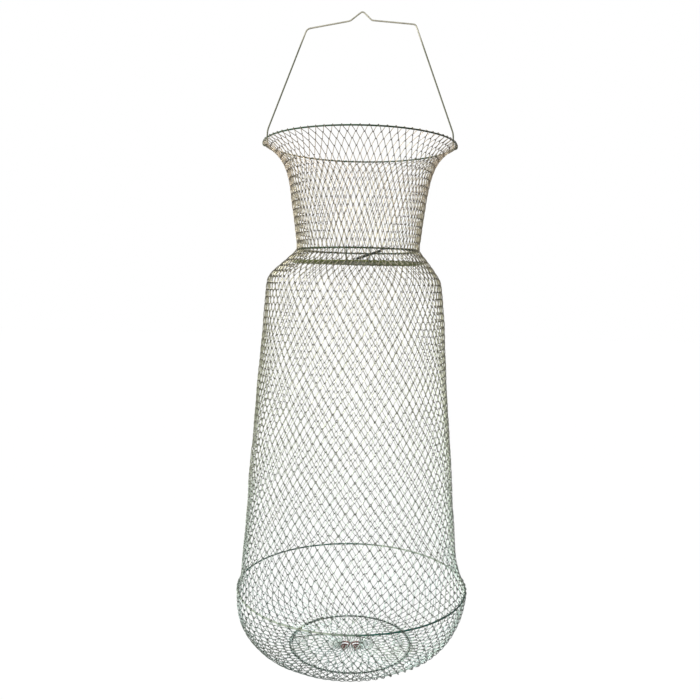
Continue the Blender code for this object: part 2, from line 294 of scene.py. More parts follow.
def welded_ring(node, weld_angle, material):
    """A ring of round wire with a low weld bead at an angle in degrees."""
    radius, height, thick = ring_size(node)
    bpy.ops.mesh.primitive_torus_add(
        major_radius=radius, minor_radius=thick / 2, major_segments=144, minor_segments=14
    )
    obj = bpy.context.object
    obj.name = obj.data.name = node + "_coated"
    weld = math.radians(weld_angle)
    middle = Vector((radius * math.cos(weld), radius * math.sin(weld), 0))
    for vertex in obj.data.vertices:
        angle = math.atan2(vertex.co.y, vertex.co.x)
        core = Vector((radius * math.cos(angle), radius * math.sin(angle), 0))
        swell = BEAD_RISE * math.exp(-(((core - middle).length / BEAD_LENGTH) ** 2))
        vertex.co = core + (vertex.co - core) * (1 + swell)
        vertex.co.z += height
    obj.data.shade_smooth()
    obj.data.materials.append(material)
    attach(obj, frame["nodes"][node]["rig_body"])
    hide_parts(node)


# Dark green plastic coat: half gloss, thin and grey-green where it has been rubbed. It is
# an olive green on the rim and the neck, and a bluer green on the large hoop.
coat = {
    "roughness": 0.36,
    "metallic": 0.0,
    "gloss": 0.2,
    "spot": 1.6 * MM,
    "patch": 22 * MM,
}
olive_coat = {
    "first": "#203a24",
    "second": "#2a462c",
    "dark": "#152314",
    "worn": ("#58644a", 0.34),
    **coat,
}
green_coat = wire_material("green PVC coated steel wire", **olive_coat)

# The same coat with a painted highlight, a pale grey-green, on one side of the rim and on two
# sides of the large hoop.
rim_coat_painted_highlight = wire_material(
    "sun bleached green PVC coated steel wire",
    painted_highlight=("#9fa68c", ((-0.93, 0.37, 0),), 95 * MM, 130 * MM),
    **olive_coat,
)
hoop_coat_painted_highlights = wire_material(
    "twice bleached green PVC coated steel wire",
    first="#145247",
    second="#1c6052",
    dark="#0f2f27",
    worn=("#4c6a5e", 0.34),
    painted_highlight=("#a0aa98", ((-0.7, -0.71, 0), (0.8, 0.6, 0)), 100 * MM, 140 * MM),
    **coat,
)
welded_ring("rim_ring", 97, rim_coat_painted_highlight)
welded_ring("neck_ring", 63, green_coat)
welded_ring("large_hoop", 118, hoop_coat_painted_highlights)


# The base ring. The same coated wire, but not welded: its two ends lie side by side,
# and one end was cut with its coat torn back.
CUT_END = math.radians(150)
TORN_LENGTH = 9 * MM

base_radius, base_z, _ = ring_size("base_ring")
cut_end = (base_radius * math.cos(CUT_END), base_radius * math.sin(CUT_END), base_z)

# The same coat, darker and less rubbed, torn back at the cut end to dull cream primer.
torn_coat = wire_material(
    "cut green PVC coated steel wire",
    first="#122a25",
    second="#18342e",
    dark="#0b1916",
    worn=("#3c4f49", 0.30),
    bare=("#eae4c5", cut_end, TORN_LENGTH),
    **coat,
)
rounded("base_ring", torn_coat)


# The linked mesh. Each row is one thin wire, wound flat and turned in through the row
# above it, so that every leg down to the right lies outside and every leg up inside.
# Here one tree of nodes winds the rows of a sleeve or disc of net along its profile.
NET_WIRE = 0.95 * MM
NET_DEPTH = 1.15 * MM
LINKS_AROUND = 70
WAVER_LENGTH = 60 * MM
STEPS_A_ROW = 8
LEAD = 5 * MM


def linked_mesh_tree():
    """Rows of linked wire round the Z axis, from the profile of a sleeve or a disc."""
    points_a_link = 10
    wire_sides = 5
    draw_to_bends = 0.75  # how far a link's points are drawn to its bends
    roundness = 0.9  # 1 bends the legs in a plain wave, and less keeps them straighter
    turn_in = 3.0  # how sharply the wire turns from the outside to the inside
    link_reach = 0.55  # how far a bend goes through the next link, in wire widths
    hook_start = 0.35  # how high up a leg the hook round a ring is full
    held_rows, free_rows = 0.5, 4.5  # rows from a ring where the mesh starts to waver
    bend_shade = (0.55, 0.9)  # how high up a leg the painted shade starts and is full
    outer_shade = 0.75  # how much painted shade lies on the legs outside
    outer_edge = (-0.3, 0.8)  # how far out the wire starts to have painted shade and is full

    tree = bpy.data.node_groups.new("linked mesh", "GeometryNodeTree")
    sockets = tree.interface
    sockets.new_socket("Profile", in_out="INPUT", socket_type="NodeSocketObject")
    sockets.new_socket("Material", in_out="INPUT", socket_type="NodeSocketMaterial")
    for name in ("Links Around", "Rows", "First Row", "Rows Here", "Rows Above"):
        sockets.new_socket(name, in_out="INPUT", socket_type="NodeSocketInt")
    for name in (
        "Wire",
        "Depth",
        "Pitch",
        "Top Hook",
        "Bottom Hook",
        "Hook Out",
        "Edge Radius",
        "Flat Side",
        "Gather Width",
        "Gather Spread",
        "Gather Shift",
        "Pair Up",
        "Waver",
        "Lean",
    ):
        sockets.new_socket(name, in_out="INPUT", socket_type="NodeSocketFloat")
    sockets.new_socket("Geometry", in_out="OUTPUT", socket_type="NodeSocketGeometry")
    given = tree.nodes.new("NodeGroupInput").outputs

    # one closed wire for each row, with the same number of points for each link of it
    points = add_node(
        tree, "ShaderNodeMath", {0: given["Links Around"], 1: points_a_link}, operation="MULTIPLY"
    )
    loop = add_node(tree, "GeometryNodeCurvePrimitiveCircle", {"Resolution": points.outputs[0]})
    line = add_node(tree, "GeometryNodeMeshLine", {"Count": given["Rows Here"]})
    count = add_node(tree, "GeometryNodeInputIndex")
    kept = add_node(tree, "GeometryNodeCaptureAttribute", {"Geometry": line.outputs["Mesh"]})
    kept.capture_items.new("INT", "Row")
    tree.links.new(count.outputs[0], kept.inputs["Row"])
    rows = add_node(
        tree,
        "GeometryNodeInstanceOnPoints",
        {"Points": kept.outputs["Geometry"], "Instance": loop.outputs["Curve"]},
    )
    wires = add_node(tree, "GeometryNodeRealizeInstances", {0: rows.outputs[0]})
    row = add_node(
        tree, "ShaderNodeMath", {0: kept.outputs["Row"], 1: given["First Row"]}, operation="ADD"
    ).outputs[0]

    # where each point is in its link, with the points drawn together at the bends
    along = add_node(tree, "GeometryNodeSplineParameter").outputs["Index"]
    turn = add_node(
        tree, "ShaderNodeMath", {0: along, 1: points_a_link}, operation="DIVIDE"
    ).outputs[0]
    twice = add_node(
        tree, "ShaderNodeMath", {0: turn, 1: 4 * math.pi}, operation="MULTIPLY"
    ).outputs[0]
    drawn = add_node(tree, "ShaderNodeMath", {0: twice}, operation="SINE").outputs[0]
    phase = add_node(
        tree,
        "ShaderNodeMath",
        {0: drawn, 1: -draw_to_bends / (4 * math.pi), 2: turn},
        operation="MULTIPLY_ADD",
    ).outputs[0]
    angle = add_node(
        tree, "ShaderNodeMath", {0: phase, 1: 2 * math.pi}, operation="MULTIPLY"
    ).outputs[0]

    # the link's height, 1 at its top bend and -1 at its bottom one: a wave, and a little of
    # one three times as short, which straightens the legs
    wave = add_node(tree, "ShaderNodeMath", {0: angle}, operation="COSINE").outputs[0]
    wave = add_node(
        tree, "ShaderNodeMath", {0: wave, 1: roundness}, operation="MULTIPLY"
    ).outputs[0]
    third = add_node(tree, "ShaderNodeMath", {0: angle, 1: 3.0}, operation="MULTIPLY").outputs[0]
    third = add_node(tree, "ShaderNodeMath", {0: third}, operation="COSINE").outputs[0]
    rise = add_node(
        tree, "ShaderNodeMath", {0: third, 1: 1 - roundness, 2: wave}, operation="MULTIPLY_ADD"
    ).outputs[0]

    # which side of the net the wire is on, 1 outside on one leg and -1 inside on the next
    side = add_node(tree, "ShaderNodeMath", {0: angle}, operation="SINE").outputs[0]
    side = add_node(
        tree, "ShaderNodeMath", {0: side, 1: turn_in}, operation="MULTIPLY"
    ).outputs[0]
    side = add_node(tree, "ShaderNodeMath", {0: side}, operation="TANH").outputs[0]

    # rows are staggered by half a link
    stagger = add_node(
        tree, "ShaderNodeMath", {0: row, 1: given["Rows Above"]}, operation="ADD"
    ).outputs[0]
    stagger = add_node(
        tree, "ShaderNodeMath", {0: stagger, 1: 0.5, 2: phase}, operation="MULTIPLY_ADD"
    ).outputs[0]
    stagger = add_node(tree, "ShaderNodeMath", {0: stagger, 1: 0.5}, operation="ADD").outputs[0]
    stagger = add_node(
        tree, "ShaderNodeMath", {0: stagger, 1: given["Links Around"]}, operation="DIVIDE"
    ).outputs[0]
    around = add_node(
        tree, "ShaderNodeMath", {0: stagger, 1: 2 * math.pi}, operation="MULTIPLY"
    ).outputs[0]

    # how far a bend reaches past its row: a little through a link, more round a ring
    last = add_node(
        tree, "ShaderNodeMath", {0: given["Rows"], 1: 1.0}, operation="SUBTRACT"
    ).outputs[0]
    is_first = add_node(
        tree, "ShaderNodeMath", {0: row, 1: 0.0, 2: 0.5}, operation="COMPARE"
    ).outputs[0]
    is_last = add_node(
        tree, "ShaderNodeMath", {0: row, 1: last, 2: 0.5}, operation="COMPARE"
    ).outputs[0]
    through = add_node(
        tree, "ShaderNodeMath", {0: given["Wire"], 1: given["Pitch"]}, operation="DIVIDE"
    ).outputs[0]
    through = add_node(
        tree, "ShaderNodeMath", {0: through, 1: link_reach}, operation="MULTIPLY"
    ).outputs[0]
    hook_up = add_node(
        tree, "ShaderNodeMath", {0: given["Top Hook"], 1: LEAD}, operation="DIVIDE"
    ).outputs[0]
    hook_down = add_node(
        tree, "ShaderNodeMath", {0: given["Bottom Hook"], 1: LEAD}, operation="DIVIDE"
    ).outputs[0]
    reach_up = add_node(
        tree, "ShaderNodeMix", {0: is_first, 2: through, 3: hook_up}
    ).outputs[0]
    reach_down = add_node(
        tree, "ShaderNodeMix", {0: is_last, 2: through, 3: hook_down}
    ).outputs[0]

    # how many rows down the profile the point lies, its straight lead counted as a row
    top = add_node(tree, "ShaderNodeMath", {0: row, 1: 1.0}, operation="ADD").outputs[0]
    bottom = add_node(tree, "ShaderNodeMath", {0: row, 1: 2.0}, operation="ADD").outputs[0]
    top = add_node(tree, "ShaderNodeMath", {0: top, 1: reach_up}, operation="SUBTRACT").outputs[0]
    bottom = add_node(
        tree, "ShaderNodeMath", {0: bottom, 1: reach_down}, operation="ADD"
    ).outputs[0]
    down = add_node(
        tree, "ShaderNodeMapRange", {"Value": rise, 1: 1.0, 2: -1.0, 3: top, 4: bottom}
    ).outputs[0]
    profile = add_node(
        tree,
        "GeometryNodeObjectInfo",
        {"Object": given["Profile"]},
        transform_space="ORIGINAL",
    ).outputs["Geometry"]
    here = add_node(tree, "GeometryNodeInputPosition").outputs[0]
    step = add_node(
        tree, "ShaderNodeMath", {0: down, 1: STEPS_A_ROW}, operation="MULTIPLY"
    ).outputs[0]
    before = add_node(tree, "ShaderNodeMath", {0: step}, operation="FLOOR").outputs[0]
    after = add_node(tree, "ShaderNodeMath", {0: before, 1: 1.0}, operation="ADD").outputs[0]
    between = add_node(tree, "ShaderNodeMath", {0: step}, operation="FRACT").outputs[0]
    ends = []
    for index in (before, after):
        sample = add_node(
            tree,
            "GeometryNodeSampleIndex",
            {"Geometry": profile, "Value": here, "Index": index},
            data_type="FLOAT_VECTOR",
        )
        ends.append(sample.outputs[0])
    spot = add_node(
        tree, "ShaderNodeMix", {0: between, 4: ends[0], 5: ends[1]}, data_type="VECTOR"
    ).outputs[1]
    run = add_node(
        tree, "ShaderNodeVectorMath", {0: ends[1], 1: ends[0]}, operation="SUBTRACT"
    ).outputs[0]
    run = add_node(tree, "ShaderNodeVectorMath", {0: run}, operation="NORMALIZE").outputs[0]
    place = add_node(tree, "ShaderNodeSeparateXYZ", {0: spot}).outputs
    slope = add_node(tree, "ShaderNodeSeparateXYZ", {0: run}).outputs

    # the wound wire stands off the profile on both sides, and by more round a ring
    near_top = add_node(
        tree, "ShaderNodeMapRange", {"Value": rise, 1: 0.0, 2: hook_start, 4: is_first}
    ).outputs[0]
    near_bottom = add_node(
        tree, "ShaderNodeMapRange", {"Value": rise, 1: 0.0, 2: -hook_start, 4: is_last}
    ).outputs[0]
    hooked = add_node(
        tree, "ShaderNodeMath", {0: near_top, 1: near_bottom}, operation="ADD"
    ).outputs[0]
    stand = add_node(
        tree, "ShaderNodeMix", {0: hooked, 2: given["Depth"], 3: given["Hook Out"]}
    ).outputs[0]
    stand = add_node(tree, "ShaderNodeMath", {0: stand, 1: side}, operation="MULTIPLY").outputs[0]
    inward = add_node(
        tree, "ShaderNodeMath", {0: slope["Z"], 1: -1.0}, operation="MULTIPLY"
    ).outputs[0]
    radius = add_node(
        tree, "ShaderNodeMath", {0: inward, 1: stand, 2: place["X"]}, operation="MULTIPLY_ADD"
    ).outputs[0]
    height = add_node(
        tree, "ShaderNodeMath", {0: slope["X"], 1: stand, 2: place["Z"]}, operation="MULTIPLY_ADD"
    ).outputs[0]

    # the last bends may be pinched together in pairs, for wider links to take them up
    pair = add_node(
        tree, "ShaderNodeMath", {0: given["Links Around"], 1: around}, operation="MULTIPLY"
    ).outputs[0]
    pair = add_node(tree, "ShaderNodeMath", {0: pair, 1: 0.5}, operation="MULTIPLY").outputs[0]
    pair = add_node(tree, "ShaderNodeMath", {0: pair}, operation="SINE").outputs[0]
    pair = add_node(
        tree, "ShaderNodeMath", {0: pair, 1: near_bottom}, operation="MULTIPLY"
    ).outputs[0]
    pinch = add_node(
        tree,
        "ShaderNodeMath",
        {0: given["Pair Up"], 1: given["Links Around"]},
        operation="DIVIDE",
    ).outputs[0]
    around = add_node(
        tree, "ShaderNodeMath", {0: pair, 1: pinch, 2: around}, operation="MULTIPLY_ADD"
    ).outputs[0]

    # a disc may have a flat side at the front, and its middle may be drawn out and shifted
    foot = add_node(
        tree, "ShaderNodeMath", {0: given["Rows"], 1: 1.0}, operation="ADD"
    ).outputs[0]
    share = add_node(tree, "ShaderNodeMapRange", {"Value": down, 1: 1.0, 2: foot}).outputs[0]
    double = add_node(tree, "ShaderNodeMath", {0: around, 1: 2.0}, operation="MULTIPLY").outputs[0]
    double = add_node(tree, "ShaderNodeMath", {0: double}, operation="SINE").outputs[0]
    spread = add_node(
        tree, "ShaderNodeMath", {0: given["Gather Spread"], 1: share}, operation="MULTIPLY"
    ).outputs[0]
    around = add_node(
        tree, "ShaderNodeMath", {0: double, 1: spread, 2: around}, operation="MULTIPLY_ADD"
    ).outputs[0]
    cosine = add_node(tree, "ShaderNodeMath", {0: around}, operation="COSINE").outputs[0]
    sine = add_node(tree, "ShaderNodeMath", {0: around}, operation="SINE").outputs[0]
    ahead = add_node(
        tree, "ShaderNodeMath", {0: sine, 1: given["Edge Radius"]}, operation="MULTIPLY"
    ).outputs[0]
    ahead = add_node(tree, "ShaderNodeMath", {0: ahead, 1: -1.0}, operation="MULTIPLY").outputs[0]
    ahead = add_node(
        tree, "ShaderNodeMath", {0: ahead, 1: given["Flat Side"]}, operation="MAXIMUM"
    ).outputs[0]
    cut = add_node(
        tree, "ShaderNodeMath", {0: given["Flat Side"], 1: ahead}, operation="DIVIDE"
    ).outputs[0]
    cut = add_node(tree, "ShaderNodeMix", {0: share, 2: cut, 3: 1.0}).outputs[0]
    radius = add_node(
        tree, "ShaderNodeMath", {0: radius, 1: cut}, operation="MULTIPLY"
    ).outputs[0]
    middle = add_node(
        tree, "ShaderNodeMapRange", {"Value": cosine, 1: -0.5, 2: 0.5, 3: -1.0, 4: 1.0}
    ).outputs[0]
    middle = add_node(
        tree, "ShaderNodeMath", {0: middle, 1: given["Gather Width"]}, operation="MULTIPLY"
    ).outputs[0]
    middle = add_node(
        tree, "ShaderNodeMath", {0: middle, 1: share}, operation="MULTIPLY"
    ).outputs[0]
    x = add_node(
        tree, "ShaderNodeMath", {0: radius, 1: cosine, 2: middle}, operation="MULTIPLY_ADD"
    ).outputs[0]
    shift = add_node(
        tree, "ShaderNodeMath", {0: share, 1: given["Gather Shift"]}, operation="MULTIPLY"
    ).outputs[0]
    y = add_node(
        tree, "ShaderNodeMath", {0: radius, 1: sine, 2: shift}, operation="MULTIPLY_ADD"
    ).outputs[0]
    point = add_node(tree, "ShaderNodeCombineXYZ", {0: x, 1: y, 2: height}).outputs[0]

    # hand-folded mesh wavers and leans a little, but not where a ring holds it
    edge = add_node(tree, "ShaderNodeMath", {0: foot, 1: down}, operation="SUBTRACT").outputs[0]
    past = add_node(tree, "ShaderNodeMath", {0: down, 1: 1.0}, operation="SUBTRACT").outputs[0]
    edge = add_node(tree, "ShaderNodeMath", {0: edge, 1: past}, operation="MINIMUM").outputs[0]
    free = add_node(
        tree, "ShaderNodeMapRange", {"Value": edge, 1: held_rows, 2: free_rows}
    ).outputs[0]
    noise = add_node(
        tree, "ShaderNodeTexNoise", {"Vector": point, "Scale": 1 / WAVER_LENGTH, "Detail": 1.0}
    ).outputs["Color"]
    noise = add_node(
        tree, "ShaderNodeVectorMath", {0: noise, 1: (0.5, 0.5, 0.5)}, operation="SUBTRACT"
    ).outputs[0]
    noise = add_node(
        tree, "ShaderNodeVectorMath", {0: noise, "Scale": given["Waver"]}, operation="SCALE"
    ).outputs[0]
    leant = add_node(tree, "ShaderNodeCombineXYZ", {0: given["Lean"]}).outputs[0]
    noise = add_node(
        tree, "ShaderNodeVectorMath", {0: noise, 1: leant}, operation="ADD"
    ).outputs[0]
    noise = add_node(
        tree, "ShaderNodeVectorMath", {0: noise, "Scale": free}, operation="SCALE"
    ).outputs[0]
    point = add_node(
        tree, "ShaderNodeVectorMath", {0: point, 1: noise}, operation="ADD"
    ).outputs[0]
    wound = add_node(
        tree, "GeometryNodeSetPosition", {0: wires.outputs[0], "Position": point}
    ).outputs[0]

    # painted shade fills the bends, where the wires cross, and some of it is painted on the legs
    # that lie outside
    bend = add_node(tree, "ShaderNodeMath", {0: rise}, operation="ABSOLUTE").outputs[0]
    low, high = bend_shade
    bend = add_node(tree, "ShaderNodeMapRange", {"Value": bend, 1: low, 2: high}).outputs[0]
    low, high = outer_edge
    outer = add_node(
        tree, "ShaderNodeMapRange", {"Value": side, 1: low, 2: high, 4: outer_shade}
    ).outputs[0]
    dirt = add_node(tree, "ShaderNodeMath", {0: bend, 1: outer}, operation="MAXIMUM").outputs[0]
    wound = add_node(
        tree,
        "GeometryNodeStoreNamedAttribute",
        {0: wound, "Name": "dirt", "Value": dirt},
        data_type="FLOAT",
        domain="POINT",
    ).outputs[0]

    # each row swept to a round wire
    half = add_node(
        tree, "ShaderNodeMath", {0: given["Wire"], 1: 0.5}, operation="MULTIPLY"
    ).outputs[0]
    section = add_node(
        tree, "GeometryNodeCurvePrimitiveCircle", {"Resolution": wire_sides, "Radius": half}
    ).outputs["Curve"]
    swept = add_node(tree, "GeometryNodeCurveToMesh", {0: wound, 1: section}).outputs[0]
    swept = add_node(tree, "GeometryNodeSetShadeSmooth", {0: swept}).outputs[0]
    swept = add_node(tree, "GeometryNodeRealizeInstances", {0: swept}).outputs[0]
    swept = add_node(
        tree, "GeometryNodeSetMaterial", {0: swept, "Material": given["Material"]}
    ).outputs[0]
    add_node(tree, "NodeGroupOutput", {"Geometry": swept})
    return tree


def at_length(outline, length):
    """The point at a length along (radius, height) points."""
    for start, end in zip(outline, outline[1:]):
        step = math.dist(start, end)
        if length <= step:
            return Vector(start).lerp(Vector(end), length / step)
        length -= step
    return Vector(outline[-1])


def row_pitches(outline, rows, links):
    """Heights of the rows down a profile. Every leg is as long, so wide rows are low."""
    halvings = 40
    whole = sum(math.dist(a, b) for a, b in zip(outline, outline[1:]))
    short, long = 0.0, 2 * whole / rows + outline[0][0]
    for _ in range(halvings):
        leg = (short + long) / 2
        pitches = []
        for _ in range(rows):
            half = math.pi * at_length(outline, sum(pitches))[0] / links
            pitches.append(math.sqrt(max(leg**2 - half**2, (leg / 4) ** 2)))
        short, long = (leg, long) if sum(pitches) < whole else (short, leg)
    return pitches


def profile_steps(name, outline, pitches):
    """Points down a profile, as many to each row, with a straight lead at each end."""
    first = (Vector(outline[0]) - Vector(outline[1])).normalized() * LEAD
    last = (Vector(outline[-1]) - Vector(outline[-2])).normalized() * LEAD
    steps = [Vector(outline[0]) + first * (1 - n / STEPS_A_ROW) for n in range(STEPS_A_ROW)]
    for row, pitch in enumerate(pitches):
        top = sum(pitches[:row])
        steps += [at_length(outline, top + pitch * n / STEPS_A_ROW) for n in range(STEPS_A_ROW)]
    steps += [Vector(outline[-1]) + last * n / STEPS_A_ROW for n in range(STEPS_A_ROW + 1)]
    mesh = bpy.data.meshes.new(name)
    mesh.from_pydata([(step.x, 0, step.y) for step in steps], [], [])
    obj = bpy.data.objects.new(name, mesh)
    bpy.context.scene.collection.objects.link(obj)
    return obj


linked_mesh = linked_mesh_tree()


def wind_net(name, outline, material, sizes):
    """A plain mesh of linked wire on a profile. sizes are the tree's named inputs."""
    holder = bpy.data.objects.new(name + "_wound", bpy.data.meshes.new(name))
    bpy.context.scene.collection.objects.link(holder)
    pitches = row_pitches(outline, sizes["Rows"], sizes.get("Links Around", LINKS_AROUND))
    profile = profile_steps(name + "_profile", outline, pitches)
    wound = holder.modifiers.new("wound", "NODES")
    wound.node_group = linked_mesh
    values = {
        "Profile": profile,
        "Material": material,
        "Wire": NET_WIRE,
        "Links Around": LINKS_AROUND,
        "First Row": 0,
        "Rows Here": sizes["Rows"],
        "Edge Radius": outline[0][0],
        "Flat Side": 2 * outline[0][0],
        "Depth": NET_DEPTH,
        "Pitch": sum(pitches) / len(pitches),
        "Gather Width": 0.0,
        "Gather Spread": 0.0,
        "Gather Shift": 0.0,
        "Pair Up": 0.0,
        "Waver": 0.0,
        "Lean": 0.0,
        **sizes,
    }
    for item in linked_mesh.interface.items_tree:
        if item.in_out == "INPUT":
            wound[item.identifier] = values[item.name]
    bpy.context.view_layer.update()
    held = holder.evaluated_get(bpy.context.evaluated_depsgraph_get())
    mesh = bpy.data.meshes.new_from_object(held)
    mesh.name = name
    obj = bpy.data.objects.new(name, mesh)
    bpy.context.scene.collection.objects.link(obj)
    bpy.data.objects.remove(holder)
    bpy.data.objects.remove(profile)
    return obj


# Olive chromated zinc on thin steel wire: a soft metal sheen on the legs that face the
# light, brownish at the throat and cooler and greener further down, with dull specks.
mesh_coat = {
    "first": ((-0.19, "#c7b69f"), (-0.36, "#c3bca2"), (-0.58, "#c3cab4"), (-0.85, "#b3c8c2")),
    "second": "#b6b8a0",
    "dark": "#7c7a66",
    "roughness": 0.32,
    "metallic": 1.0,
    "spot": 2.5 * MM,
    "patch": 40 * MM,
}
# It carries painted shade in its bends and on its outer legs, where its mesh says so.
mesh_wire = wire_material(
    "olive chromated galvanised mesh wire", link_shade=("#2e2620", 0.8), **mesh_coat
)


# The throat. A sleeve of linked mesh that flares to the rim, where its top row is
# hooked over the ring, and closes to the neck ring, which its bottom row goes round.
THROAT_ROWS = 15
THROAT_LINKS = 74
THROAT_TAPER = 20 * MM
FLARE_POWER = 7.5
OUTLINE_STEPS = 64
HOOK_GAP = 0.05 * MM
HOOK_STAND = 1.15
HOOK_LENGTH = 4.5 * MM
EYE_PUSH = 4 * MM
PUSH_WIDTH = 12 * MM
PUSH_DEPTH = 4 * MM
PUSH_SPLIT = 2 * MM

rim_radius, rim_z, ring_wire = ring_size("rim_ring")
neck_radius, neck_z, _ = ring_size("neck_ring")
ring_hook = (ring_wire + NET_WIRE) / 2 + HOOK_GAP
hook_out = ring_hook * HOOK_STAND
throat_outline = []
for n in range(OUTLINE_STEPS + 1):
    up = 1 - n / OUTLINE_STEPS
    flare = (rim_radius - neck_radius - THROAT_TAPER) * up**FLARE_POWER
    throat_outline.append(
        (neck_radius + THROAT_TAPER * up + flare, neck_z + (rim_z - neck_z) * up)
    )
throat = wind_net(
    "throat_mesh",
    throat_outline,
    mesh_wire,
    {
        "Links Around": THROAT_LINKS,
        "Rows": THROAT_ROWS,
        "Rows Above": 0,
        "Top Hook": ring_hook,
        "Bottom Hook": ring_hook,
        "Hook Out": hook_out,
        "Waver": 3 * MM,
    },
)

# the bail's eyes push the hooks beside them apart, which leaves its legs room to swing
for vertex in throat.data.vertices:
    near = math.exp(-((vertex.co.y / PUSH_WIDTH) ** 2))
    near *= math.exp(-(((vertex.co.z - rim_z) / PUSH_DEPTH) ** 2))
    vertex.co.y += EYE_PUSH * near * math.tanh(vertex.co.y / PUSH_SPLIT)


def part_of_net(net, name, low, high):
    """The links of a net between two heights, as a piece of their own."""
    mesh = net.data.copy()
    bm = bmesh.new()
    bm.from_mesh(mesh)
    others = [face for face in bm.faces if not low <= face.calc_center_median().z < high]
    bmesh.ops.delete(bm, geom=others, context="FACES")
    bm.to_mesh(mesh)
    bm.free()
    mesh.name = name
    obj = bpy.data.objects.new(name, mesh)
    bpy.context.scene.collection.objects.link(obj)
    return obj


def hang_net(net, node, joint, top, bottom):
    """A sleeve, cut into pieces for its sliding joint: its middle goes with its top ring, on a
    mesh of its own.

    The hooks round its two rings are pieces of their own, which stay whole, and each
    set of them goes with its ring.
    """
    slide = next(j for j in frame["joints"] if j["name"] == joint)
    upper, lower = slide["parent"], slide["child"]
    for kind, body, low, high in (
        ("folds", upper, bottom + HOOK_LENGTH, top - HOOK_LENGTH),
        ("top_hooks", upper, top - HOOK_LENGTH, top + LEAD),
        ("bottom_hooks", lower, bottom - LEAD, bottom + HOOK_LENGTH),
    ):
        piece = part_of_net(net, f"{net.name}_{kind}", low, high)
        if not piece.data.polygons:
            bpy.data.objects.remove(piece)
            continue
        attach(piece, body)
        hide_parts(node)
        if kind == "folds":
            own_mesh(piece)
    bpy.data.objects.remove(net)


hang_net(throat, "throat_net", "throat_collapse", rim_z, neck_z)


# The body. The long sleeve spreads from the neck over a rounded shoulder, tapers wider
# all the way down, and is pulled out a little where the large hoop stretches it.
BODY_ROWS = 52
SHOULDER_RADIUS = 125 * MM
SHOULDER_DROP = 41 * MM
SHOULDER_ROUND = 3 * MM
HOOP_PULL = 8 * MM
HOOP_PULL_LENGTH = 15 * MM

hoop_radius, hoop_z, _ = ring_size("large_hoop")
body_length = neck_z - hoop_z
body_steps = 3 * OUTLINE_STEPS
widening = hoop_radius - HOOP_PULL - SHOULDER_RADIUS
body_outline = []
for n in range(body_steps + 1):
    down = body_length * n / body_steps
    cone = neck_radius + (SHOULDER_RADIUS - neck_radius) * down / SHOULDER_DROP
    wall = SHOULDER_RADIUS + widening * (down - SHOULDER_DROP) / (body_length - SHOULDER_DROP)
    rounding = SHOULDER_ROUND * math.log1p(math.exp(-abs(cone - wall) / SHOULDER_ROUND))
    pull = HOOP_PULL * math.exp((down - body_length) / HOOP_PULL_LENGTH)
    body_outline.append((min(cone, wall) - rounding + pull, neck_z - down))

upper_rows = BODY_ROWS // 2
for name, first, count in (
    ("body_mesh_upper", 0, upper_rows),
    ("body_mesh_lower", upper_rows, BODY_ROWS - upper_rows),
):
    sleeve = wind_net(
        name,
        body_outline,
        mesh_wire,
        {
            "Rows": BODY_ROWS,
            "First Row": first,
            "Rows Here": count,
            "Rows Above": THROAT_ROWS,
            "Top Hook": ring_hook,
            "Bottom Hook": ring_hook,
            "Hook Out": hook_out,
            "Waver": 4 * MM,
            "Lean": -4.5 * MM,
        },
    )
    hang_net(sleeve, "body_net", "body_collapse", neck_z, hoop_z)


# The bowl. The same mesh turns in under the large hoop to the base ring, full and round.
# Its hooks there are longer, because they go round both of that ring's lapped ends.
BOWL_ROWS = 13
BOWL_FULLNESS = 2.3

lap_hook = ring_hook + ring_wire / 2
bowl_outline = []
for n in range(OUTLINE_STEPS + 1):
    turn = n / OUTLINE_STEPS * math.pi / 2
    out = math.cos(turn)
    fall = math.sin(turn) ** (2 / BOWL_FULLNESS)
    bowl_outline.append(
        (base_radius + (hoop_radius - base_radius) * out, hoop_z - (hoop_z - base_z) * fall)
    )
bowl = wind_net(
    "bowl_mesh",
    bowl_outline,
    mesh_wire,
    {
        "Rows": BOWL_ROWS,
        "Rows Above": THROAT_ROWS + BODY_ROWS,
        "Top Hook": ring_hook,
        "Bottom Hook": lap_hook,
        "Hook Out": hook_out,
        "Waver": 2 * MM,
        "Lean": -3 * MM,
    },
)
hang_net(bowl, "bowl_net", "base_collapse", hoop_z, base_z)


# The base. The mesh runs on across the base ring, with half as many links from its
# third row on, and its last loops are gathered on two small clips in a long middle.
# Its wire has less painted shade in its bends and on its outer legs than the sleeves'.
OUTER_ROWS = 2
INNER_ROWS = 6
HALVING_RADIUS = 64 * MM
PINCH = 2.7
GATHER_SPREAD = 0.25

clip_low, clip_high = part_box("clip_right")
clip_wire = clip_high.z - clip_low.z
clip_radius = (clip_high.x - clip_low.x - clip_wire) / 2
clip_x = (clip_low.x + clip_high.x) / 2
clip_y = (clip_low.y + clip_high.y) / 2

# The mesh's olive chromated zinc again, with less painted shade: paler bends, the same sheen.
less_shaded_wire = wire_material(
    "rinsed olive chromated galvanised mesh wire", link_shade=("#3a3630", 0.4), **mesh_coat
)
for name, outline, sizes in (
    (
        "base_mesh_outer",
        [(base_radius, base_z), (HALVING_RADIUS, base_z)],
        {
            "Rows": OUTER_ROWS,
            "Rows Above": THROAT_ROWS + BODY_ROWS + BOWL_ROWS,
            "Top Hook": lap_hook,
            "Bottom Hook": NET_WIRE / 2,
            "Pair Up": PINCH,
        },
    ),
    (
        "base_mesh_inner",
        [(HALVING_RADIUS, base_z), (clip_radius, base_z)],
        {
            "Links Around": LINKS_AROUND // 2,
            "Rows": INNER_ROWS,
            "Rows Above": 0,
            "Top Hook": NET_WIRE,
            "Bottom Hook": (clip_wire + NET_WIRE) / 2,
            "Gather Width": clip_x,
            "Gather Spread": GATHER_SPREAD,
            "Gather Shift": clip_y,
        },
    ),
):
    disc = wind_net(name, outline, less_shaded_wire, {"Hook Out": hook_out, **sizes})
    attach(disc, "base")
    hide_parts("base_net")


